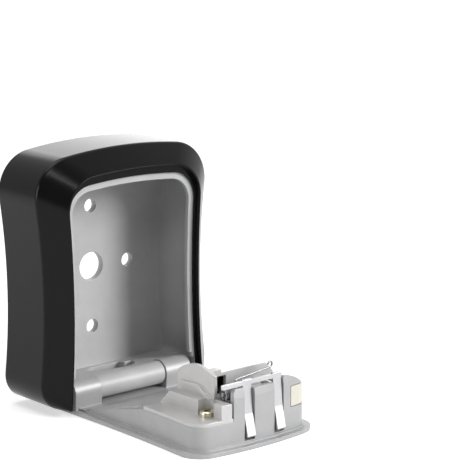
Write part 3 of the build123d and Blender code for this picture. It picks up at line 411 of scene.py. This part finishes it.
NODE_FINISH: dict[str, Finish] = {
    "outer_shell": SHELL_COAT,
    "inner_case": CASE_COAT,
    "hinge_pin": PIN_STEEL,
    "door_panel": DOOR_COAT,
    "lock_cover": COVER_CAST,
    "cover_screw_1": SCREW_PLATE,
    "cover_screw_2": SCREW_PLATE,
    "dial_shaft": PIN_STEEL,
    "detent_spring": SPRING_STEEL,
    "latch_pin": PIN_STEEL,
    "latch_spring": SPRING_STEEL,
    "latch_plate": LATCH_STEEL,
    "thumb_slide": SLIDE_MOULD,
    "fence_bar": LATCH_STEEL,
    "reset_lever": LEVER_MOULD,
    **{f"dial_{letter}": DIAL_MOULD for letter in "abcd"},
    **{f"cam_{letter}": CAM_CAST for letter in "abcd"},
}


class Wardrobe:
    """Builds each finish once and hands it out."""

    def __init__(self) -> None:
        """Start with nothing built."""
        self._built: dict[str, bpy.types.Material] = {}

    def get(self, finish: Finish) -> bpy.types.Material:
        """Hand out the material of a finish, built on first use.

        Args:
            finish: The finish.

        Returns:
            Its material.
        """
        if finish.name not in self._built:
            self._built[finish.name] = finish.build()
        return self._built[finish.name]

    def dress(self, obj: bpy.types.Object, finish: Finish) -> None:
        """Put a finish on the whole of an object."""
        obj.data.materials.clear()
        obj.data.materials.append(self.get(finish))


class NodeTree:
    """A Geometry Nodes tree in the making, with named inputs."""

    def __init__(self, name: str) -> None:
        """Start an empty tree with a geometry input and output and a material input.

        Args:
            name: Name of the tree.
        """
        self.tree = bpy.data.node_groups.new(name, "GeometryNodeTree")
        self.sockets: dict[str, str] = {}
        self._declare("Geometry", "NodeSocketGeometry")
        self._declare("Finish", "NodeSocketMaterial")
        self.tree.interface.new_socket(name="Geometry", in_out="OUTPUT",
                                       socket_type="NodeSocketGeometry")
        self.entry = self.add("NodeGroupInput")

    def _declare(self, name: str, kind: str) -> None:
        """Declare one input and remember its identifier."""
        socket = self.tree.interface.new_socket(name=name, in_out="INPUT", socket_type=kind)
        self.sockets[name] = socket.identifier

    def number(self, name: str, kind: str = "NodeSocketFloat") -> Socket:
        """Declare a named input and return its socket on the entry node."""
        self._declare(name, kind)
        return self.entry.outputs[name]

    def add(self, kind: str) -> bpy.types.Node:
        """Add a node of a kind."""
        return self.tree.nodes.new(kind)

    def join(self, source: Socket, target: Socket) -> None:
        """Link two sockets."""
        self.tree.links.new(source, target)

    def sum_up(self, operation: str, first: Socket,
               second: Socket | float | None = None) -> Socket:
        """Result of a Math node on a socket and, where given, a second socket or number."""
        return math_result(self.tree, operation, first, second)

    def close(self, result: Socket) -> None:
        """End the tree in Realize Instances and Set Material.

        Args:
            result: The geometry that the tree has made.
        """
        realize = self.add("GeometryNodeRealizeInstances")
        paint = self.add("GeometryNodeSetMaterial")
        leave = self.add("NodeGroupOutput")
        self.join(result, realize.inputs["Geometry"])
        self.join(realize.outputs["Geometry"], paint.inputs["Geometry"])
        self.join(self.entry.outputs["Finish"], paint.inputs["Material"])
        self.join(paint.outputs["Geometry"], leave.inputs["Geometry"])

    def make(self, name: str, start: bpy.types.Mesh, finish: bpy.types.Material,
             values: dict[str, object]) -> bpy.types.Object:
        """Run the tree on a mesh and keep its result as a plain mesh object.

        Args:
            name: Name of the new object.
            start: The mesh that the tree starts from.
            finish: Material for the whole result.
            values: Values of the tree's named inputs.

        Returns:
            The object, at the origin, with no modifier left.
        """
        holder = object_from(f"{name}_start", start)
        worker = holder.modifiers.new("nodes", "NODES")
        worker.node_group = self.tree
        worker[self.sockets["Finish"]] = finish
        for label, value in values.items():
            worker[self.sockets[label]] = value
        ready = holder.evaluated_get(bpy.context.evaluated_depsgraph_get())
        mesh = bpy.data.meshes.new_from_object(ready)
        mesh.name = name
        holder.modifiers.remove(worker)
        bpy.data.objects.remove(holder)
        bpy.data.meshes.remove(start)
        return object_from(name, mesh)


@dataclass
class DialSet:
    """The four number wheels' moulded figures, wrapped on each wheel by one node tree."""

    places_x: Sequence[float] = (-6.6, 1.1, 8.8, 16.5)
    letters: str = "abcd"
    axis_v: float = 76.9
    axis_w: float = 13.2
    radius: float = 10.4
    faces: int = 10
    figure_height: float = 3.7
    font_scale: float = 1.36
    curve_steps: int = 3
    weld: float = 0.001
    figure_proud: float = 0.06
    longest_edge: float = 0.5
    subdivisions: int = 3

    def build(self, wardrobe: Wardrobe) -> None:
        """Build the figures of each wheel and ride them on it.

        Args:
            wardrobe: Where finishes come from.
        """
        tree = self._wrap_tree()
        for letter, x in zip(self.letters, self.places_x):
            axis = door_point(x, self.axis_v, self.axis_w)
            ring = tree.make(f"dial_{letter}_figures", self._strip(), wardrobe.get(FIGURE_PAINT),
                             {"Wheel Radius": self.radius * MM, "Wheel Axis": tuple(axis)})
            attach(ring, f"dial_{letter}")
            LOG.info("built %s", ring.name)

    def _wrap_tree(self) -> NodeTree:
        """Make the tree that bends a flat strip, laid along Y, round a wheel along X.

        Returns:
            The tree, whose result faces outwards.
        """
        tree = NodeTree("wrap_on_wheel")
        radius = tree.number("Wheel Radius")
        axis = tree.number("Wheel Axis", "NodeSocketVector")
        place = tree.add("GeometryNodeInputPosition")
        parts = tree.add("ShaderNodeSeparateXYZ")
        tree.join(place.outputs["Position"], parts.inputs["Vector"])
        angle = tree.sum_up("DIVIDE", parts.outputs["Y"], radius)
        reach = tree.sum_up("MULTIPLY", tree.sum_up("ADD", parts.outputs["Z"], radius), -1.0)
        bent = tree.add("ShaderNodeCombineXYZ")
        tree.join(parts.outputs["X"], bent.inputs["X"])
        for side, turn in (("Y", "SINE"), ("Z", "COSINE")):
            tree.join(tree.sum_up("MULTIPLY", reach, tree.sum_up(turn, angle)), bent.inputs[side])
        moved = tree.add("ShaderNodeVectorMath")
        moved.operation = "ADD"
        tree.join(bent.outputs["Vector"], moved.inputs[0])
        tree.join(axis, moved.inputs[1])
        shift = tree.add("GeometryNodeSetPosition")
        tree.join(tree.entry.outputs["Geometry"], shift.inputs["Geometry"])
        tree.join(moved.outputs["Vector"], shift.inputs["Position"])
        tree.close(shift.outputs["Geometry"])
        return tree

    def _strip(self) -> bpy.types.Mesh:
        """Make a flat strip of figures, one for each face of the wheel.

        Returns:
            The strip's mesh, in metres.
        """
        strip = bmesh.new()
        for place in range(self.faces):
            along = 2 * math.pi * self.radius * place / self.faces
            figure = self._figure(str(place), along)
            strip.from_mesh(figure)
            bpy.data.meshes.remove(figure)
        strip.normal_update()
        return mesh_from("figure_strip", strip)

    def _outline(self, text: str) -> bmesh.types.BMesh:
        """Make one raised figure from the font's outline.

        Args:
            text: The figure.

        Returns:
            The figure in the making, in millimetres round the origin.
        """
        curve = bpy.data.curves.new("figure", "FONT")
        curve.body = text
        curve.size = self.figure_height * self.font_scale
        curve.align_x = "CENTER"
        curve.align_y = "CENTER"
        curve.extrude = self.figure_proud
        curve.resolution_u = self.curve_steps
        holder = object_from("figure", curve)
        mesh = bpy.data.meshes.new_from_object(holder)
        figure = bmesh.new()
        figure.from_mesh(mesh)
        bpy.data.objects.remove(holder)
        bpy.data.curves.remove(curve)
        bpy.data.meshes.remove(mesh)
        return figure

    def _figure(self, text: str, along: float) -> bpy.types.Mesh:
        """Make one figure, cut finely enough to bend, at its place on the strip.

        Args:
            text: The figure.
            along: The figure's place along the strip, in millimetres.

        Returns:
            The figure's mesh, in metres.
        """
        figure = self._outline(text)
        bmesh.ops.remove_doubles(figure, verts=figure.verts[:], dist=self.weld)
        bmesh.ops.triangulate(figure, faces=figure.faces[:])
        for _ in range(self.subdivisions):
            long_edges = [e for e in figure.edges if e.calc_length() > self.longest_edge]
            bmesh.ops.subdivide_edges(figure, edges=long_edges, cuts=1)
            bmesh.ops.triangulate(figure, faces=figure.faces[:])
        heights = [v.co.y for v in figure.verts]
        middle = (max(heights) + min(heights)) / 2
        for vert in figure.verts:
            vert.co = Vector((vert.co.x, vert.co.y - middle + along, vert.co.z)) * MM
        return mesh_from("figure_placed", figure)


@dataclass
class CastMarks:
    """Small marks of the casting on the door: a dished boss and a ribbed pocket, whose recess is a
    dark pad of painted shade.
    """

    boss_place: Point = (-29.86, 64.6, 7.27)
    boss_tip: float = 0.08
    boss_profile: Sequence[tuple[float, float]] = ((1.0, 0.1), (1.35, 0.24), (1.9, 0.28),
                                                   (2.4, 0.22), (2.75, 0.02), (2.8, -0.4))
    boss_sides: int = 40
    boss_lean: float = 0.055
    pocket_place: Point = (-25.2, 45.0, 9.42)
    pocket_slope: float = 0.2333
    pocket_half: tuple[float, float] = (3.1, 6.6)
    pocket_corners: Sequence[tuple[float, float]] = ((-1.0, -0.3), (-1.0, 0.8), (-0.6, 1.0),
                                                     (0.7, 0.75), (1.0, 0.3), (1.0, -0.7),
                                                     (0.5, -1.0), (-0.4, -0.85))
    pocket_levels: Sequence[tuple[float, float]] = ((1.0, -0.5), (1.0, 0.0), (0.94, 0.05))
    rib_count: int = 6
    rib_pitch: float = 2.1
    rib_radius: float = 0.34
    rib_sides: int = 12
    rib_skew: float = 0.45

    def build(self, wardrobe: Wardrobe) -> None:
        """Build the marks and ride them on the door.

        Args:
            wardrobe: Where finishes come from.
        """
        for piece in (self._boss(wardrobe), self._pocket(wardrobe), self._ribs(wardrobe)):
            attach(piece, "door")
            LOG.info("built %s", piece.name)

    def _boss(self, wardrobe: Wardrobe) -> bpy.types.Object:
        """Make the round dished boss on the door's left wall.

        Args:
            wardrobe: Where finishes come from.

        Returns:
            The boss.
        """
        turned = bmesh.new()
        rings = []
        for radius, height in self.boss_profile:
            ring = []
            for side in range(self.boss_sides):
                angle = 2 * math.pi * side / self.boss_sides
                spot = (radius * math.cos(angle), radius * math.sin(angle), height)
                ring.append(turned.verts.new(spot))
            rings.append(ring)
        tip = turned.verts.new((0.0, 0.0, self.boss_tip))
        for side in range(self.boss_sides):
            after = (side + 1) % self.boss_sides
            turned.faces.new((tip, rings[0][side], rings[0][after]))
            for inner, outer in zip(rings, rings[1:]):
                turned.faces.new((inner[side], outer[side], outer[after], inner[after]))
        turned.faces.new(list(reversed(rings[-1])))
        bmesh.ops.recalc_face_normals(turned, faces=turned.faces[:])
        outwards = Vector((-1.0, self.boss_lean, 0.0)).normalized()
        turn = outwards.to_track_quat("Z", "Y").to_matrix()
        place = door_point(*self.boss_place)
        for vert in turned.verts:
            vert.co = place + (turn @ vert.co) * MM
        piece = object_from("door_boss_mark", mesh_from("door_boss_mark", turned))
        wardrobe.dress(piece, DOOR_COAT)
        for face in piece.data.polygons:
            face.use_smooth = len(face.vertices) < self.boss_sides
        return piece

    def _slope_point(self, x: float, along: float, lift: float) -> Vector:
        """Find a place on the door's slope.

        Args:
            x: Distance across from the pocket's middle, in millimetres.
            along: Distance up the slope from the pocket's middle, in millimetres.
            lift: Height off the slope, in millimetres.

        Returns:
            The world place, in metres.
        """
        run = 1.0 / math.sqrt(1 + self.pocket_slope ** 2)
        mid_x, mid_v, mid_w = self.pocket_place
        return door_point(mid_x + x, mid_v + (along - lift * self.pocket_slope) * run,
                          mid_w + (along * self.pocket_slope + lift) * run)

    def _pocket(self, wardrobe: Wardrobe) -> bpy.types.Object:
        """Make a thin dark pad with cut corners and eased edges, painted shade standing for the
        pocket's recess.

        Args:
            wardrobe: Where finishes come from.

        Returns:
            The dark pad of painted shade.
        """
        half_x, half_v = self.pocket_half
        pad = bmesh.new()
        rings = []
        for share, lift in self.pocket_levels:
            ring = []
            for x, v in self.pocket_corners:
                spot = self._slope_point(x * half_x * share, v * half_v * share, lift)
                ring.append(pad.verts.new(spot))
            rings.append(ring)
        sides = len(self.pocket_corners)
        for lower, upper in zip(rings, rings[1:]):
            for side in range(sides):
                after = (side + 1) % sides
                pad.faces.new((lower[side], lower[after], upper[after], upper[side]))
        pad.faces.new(rings[-1])
        pad.faces.new(list(reversed(rings[0])))
        bmesh.ops.recalc_face_normals(pad, faces=pad.faces[:])
        # painted shade: the pad is dark to stand for the shade in the pocket
        piece = object_from("door_pocket_painted_shade", mesh_from("door_pocket_painted_shade", pad))
        wardrobe.dress(piece, POCKET_SHADE)
        return piece

    def _rib_tree(self) -> NodeTree:
        """Make the tree that lays a row of round-topped ribs.

        Returns:
            The tree.
        """
        tree = NodeTree("row_of_ribs")
        row = tree.add("GeometryNodeMeshLine")
        row.mode = "OFFSET"
        line = tree.add("GeometryNodeCurvePrimitiveLine")
        profile = tree.add("GeometryNodeCurvePrimitiveCircle")
        profile.inputs["Resolution"].default_value = self.rib_sides
        body = tree.add("GeometryNodeCurveToMesh")
        body.inputs["Fill Caps"].default_value = True
        spread = tree.add("GeometryNodeInstanceOnPoints")
        tree.join(tree.number("Rib Count", "NodeSocketInt"), row.inputs["Count"])
        tree.join(tree.number("Rib Pitch", "NodeSocketVector"), row.inputs["Offset"])
        tree.join(tree.number("First Rib", "NodeSocketVector"), row.inputs["Start Location"])
        tree.join(tree.number("Rib End", "NodeSocketVector"), line.inputs["End"])
        tree.join(tree.number("Rib Radius"), profile.inputs["Radius"])
        tree.join(line.outputs["Curve"], body.inputs["Curve"])
        tree.join(profile.outputs["Curve"], body.inputs["Profile Curve"])
        tree.join(row.outputs["Mesh"], spread.inputs["Points"])
        tree.join(body.outputs["Mesh"], spread.inputs["Instance"])
        tree.close(spread.outputs["Instances"])
        return tree

    def _ribs(self, wardrobe: Wardrobe) -> bpy.types.Object:
        """Make the ribs across the pocket and lay them on the slope.

        Args:
            wardrobe: Where finishes come from.

        Returns:
            The ribs, as one piece.
        """
        half_x = self.pocket_half[0]
        skew = half_x * self.rib_skew
        half_row = self.rib_pitch * (self.rib_count - 1) / 2
        start = self._slope_point(-half_x, -half_row - skew, 0.0)
        step = self._slope_point(0.0, self.rib_pitch, 0.0) - self._slope_point(0.0, 0.0, 0.0)
        across = self._slope_point(half_x, skew, 0.0) - self._slope_point(-half_x, -skew, 0.0)
        return self._rib_tree().make(
            "door_pocket_ribs", bpy.data.meshes.new("rib_start"), wardrobe.get(DOOR_COAT),
            {"Rib Count": self.rib_count, "Rib Pitch": tuple(step), "First Rib": tuple(start),
             "Rib End": tuple(across), "Rib Radius": self.rib_radius * MM})


@dataclass
class Studio:
    """Pale floor, soft lamps, white surround and the camera of the photograph."""

    floor_half: float = 6.0
    floor_colour: Colour = (0.8, 0.8, 0.8)
    floor_glow: float = 0.55
    eye: Point = (-0.5369, -0.7288, 0.2079)
    azimuth: float = -40.711
    elevation: float = 12.132
    roll: float = -0.166
    focal_pixels: float = 2008.0
    frame_pixels: float = 470.0
    sensor: float = 36.0
    clip: tuple[float, float] = (0.01, 50.0)
    ambient: float = 0.08
    mirrored_front: float = 0.15
    mirrored_towards: Point = (0.45, 0.85, 0.3)
    mirrored_fade: tuple[float, float] = (-0.4, 0.6)
    sun_from: Point = (0.55, -0.95, 0.46)
    sun_strength: float = 2.75
    sun_spread: float = 28.0
    lamps: dict[str, tuple[Point, Point, float, float]] = field(default_factory=lambda: {
        "top": ((-0.1, 0.1, 0.9), (0.0, -0.03, 0.0), 0.7, 4.0),
        "back": ((1.2, 1.5, 0.45), (0.0, 0.0, 0.03), 1.5, 9.0),
        "corner": ((-0.32, -0.58, 0.78), (0.0, -0.02, 0.03), 0.3, 1.5),
        "left": ((-1.0, 0.12, 0.25), (0.0, -0.05, -0.04), 0.5, 3.4),
    })

    def build(self) -> None:
        """Build the floor, lamps, surround and camera."""
        self._floor()
        self._surround()
        self._sun()
        for name, (place, aim, size, power) in self.lamps.items():
            self._lamp(name, Vector(place), Vector(aim), size, power)
        self._camera()

    def _floor(self) -> None:
        """Large pale floor under the safe."""
        low = CAD_BOX[0][2]
        half = self.floor_half
        corners = [(-half, -half, low), (half, -half, low), (half, half, low), (-half, half, low)]
        mesh = bpy.data.meshes.new("floor")
        mesh.from_pydata(corners, [], [(0, 1, 2, 3)])
        floor = object_from("floor", mesh)
        material = bpy.data.materials.new("floor_white")
        material.use_nodes = True
        tree = material.node_tree
        tree.nodes.clear()
        output = tree.nodes.new("ShaderNodeOutputMaterial")
        paper = tree.nodes.new("ShaderNodeBsdfDiffuse")
        paper.inputs["Color"].default_value = (*self.floor_colour, 1.0)
        glow = tree.nodes.new("ShaderNodeEmission")
        ray = tree.nodes.new("ShaderNodeLightPath")
        strength = math_result(tree, "MULTIPLY", self._seen(tree, ray), self.floor_glow)
        tree.links.new(strength, glow.inputs["Strength"])
        both = tree.nodes.new("ShaderNodeAddShader")
        tree.links.new(paper.outputs["BSDF"], both.inputs[0])
        tree.links.new(glow.outputs["Emission"], both.inputs[1])
        tree.links.new(both.outputs["Shader"], output.inputs["Surface"])
        mesh.materials.append(material)

    def _surround(self) -> None:
        """Even pale light from all round, white to the camera and graded in reflections."""
        world = bpy.data.worlds.new("surround")
        bpy.context.scene.world = world
        world.use_nodes = True
        tree = world.node_tree
        tree.nodes.clear()
        output = tree.nodes.new("ShaderNodeOutputWorld")
        direction = tree.nodes.new("ShaderNodeTexCoord").outputs["Generated"]
        behind = tree.nodes.new("ShaderNodeVectorMath")
        behind.operation = "DOT_PRODUCT"
        behind.inputs[1].default_value = Vector(self.mirrored_towards).normalized()
        tree.links.new(direction, behind.inputs[0])
        grade = tree.nodes.new("ShaderNodeMapRange")
        grade.interpolation_type = "SMOOTHSTEP"
        grade.inputs["From Min"].default_value = self.mirrored_fade[0]
        grade.inputs["From Max"].default_value = self.mirrored_fade[1]
        grade.inputs["To Min"].default_value = self.mirrored_front
        tree.links.new(behind.outputs["Value"], grade.inputs["Value"])
        ray = tree.nodes.new("ShaderNodeLightPath")
        white = math_result(tree, "MAXIMUM", ray.outputs["Is Camera Ray"], grade.outputs["Result"])
        seen = tree.nodes.new("ShaderNodeBackground")
        tree.links.new(white, seen.inputs["Strength"])
        even = tree.nodes.new("ShaderNodeBackground")
        even.inputs["Strength"].default_value = self.ambient
        pick = tree.nodes.new("ShaderNodeMixShader")
        tree.links.new(self._seen(tree, ray), pick.inputs["Fac"])
        tree.links.new(even.outputs["Background"], pick.inputs[1])
        tree.links.new(seen.outputs["Background"], pick.inputs[2])
        tree.links.new(pick.outputs["Shader"], output.inputs["Surface"])

    def _seen(self, tree: Tree, ray: bpy.types.Node) -> Socket:
        """Tell a ray that sees or mirrors a surface from one that lights it.

        Args:
            tree: The tree of the world or of a material.
            ray: Its Light Path node.

        Returns:
            One for a ray from the camera or a reflection, and zero for any other.
        """
        total = ray.outputs["Is Camera Ray"]
        for label in ("Is Glossy Ray", "Is Transmission Ray"):
            total = math_result(tree, "MAXIMUM", total, ray.outputs[label])
        return total

    def _sun(self) -> None:
        """Broad even key light that reaches the whole floor alike."""
        light = bpy.data.lights.new("key", "SUN")
        light.energy = self.sun_strength
        light.angle = math.radians(self.sun_spread)
        lamp = object_from("key", light)
        turn = (-Vector(self.sun_from)).to_track_quat("-Z", "Y").to_matrix()
        lamp.matrix_world = turn.to_4x4()

    def _lamp(self, name: str, place: Vector, aim: Vector, size: float, power: float) -> None:
        """Add a square soft lamp that the camera doesn't see.

        Args:
            name: Name of the lamp.
            place: Where it stands, in metres.
            aim: What it is turned to, in metres.
            size: Length of its side, in metres.
            power: Its power, in watts.
        """
        light = bpy.data.lights.new(name, "AREA")
        light.size = size
        light.energy = power
        lamp = object_from(name, light)
        lamp.visible_camera = False
        turn = (aim - place).to_track_quat("-Z", "Y").to_matrix()
        lamp.matrix_world = Matrix.Translation(place) @ turn.to_4x4()

    def _camera(self) -> None:
        """Camera standing where the photograph's stood."""
        az, el, roll = (math.radians(a) for a in (self.azimuth, self.elevation, self.roll))
        back = Vector((math.sin(az) * math.cos(el), -math.cos(az) * math.cos(el), math.sin(el)))
        right = Vector((math.cos(az), math.sin(az), 0.0))
        up = back.cross(right)
        across = right * math.cos(roll) + up * math.sin(roll)
        upright = up * math.cos(roll) - right * math.sin(roll)
        data = bpy.data.cameras.new("camera")
        data.sensor_width = self.sensor
        data.sensor_fit = "HORIZONTAL"
        data.lens = self.sensor * self.focal_pixels / self.frame_pixels
        data.clip_start, data.clip_end = self.clip
        camera = object_from("camera", data)
        turn = Matrix((across, upright, back)).transposed().to_4x4()
        camera.matrix_world = Matrix.Translation(Vector(self.eye)) @ turn
        bpy.context.scene.camera = camera


def dress_nodes(wardrobe: Wardrobe) -> None:
    """Give every carried-over node its finish.

    Args:
        wardrobe: Where finishes come from.
    """
    for name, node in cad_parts.items():
        wardrobe.dress(node, NODE_FINISH[name])
        LOG.info("dressed %s", name)


def main() -> None:
    """Dress the safe, build what only shows, and set up the studio."""
    wardrobe = Wardrobe()
    Studio().build()
    dress_nodes(wardrobe)
    DialSet().build(wardrobe)
    CastMarks().build(wardrobe)
    bpy.context.scene.view_settings.view_transform = "Standard"
    bpy.context.view_layer.update()


if __name__ == "__main__":
    main()
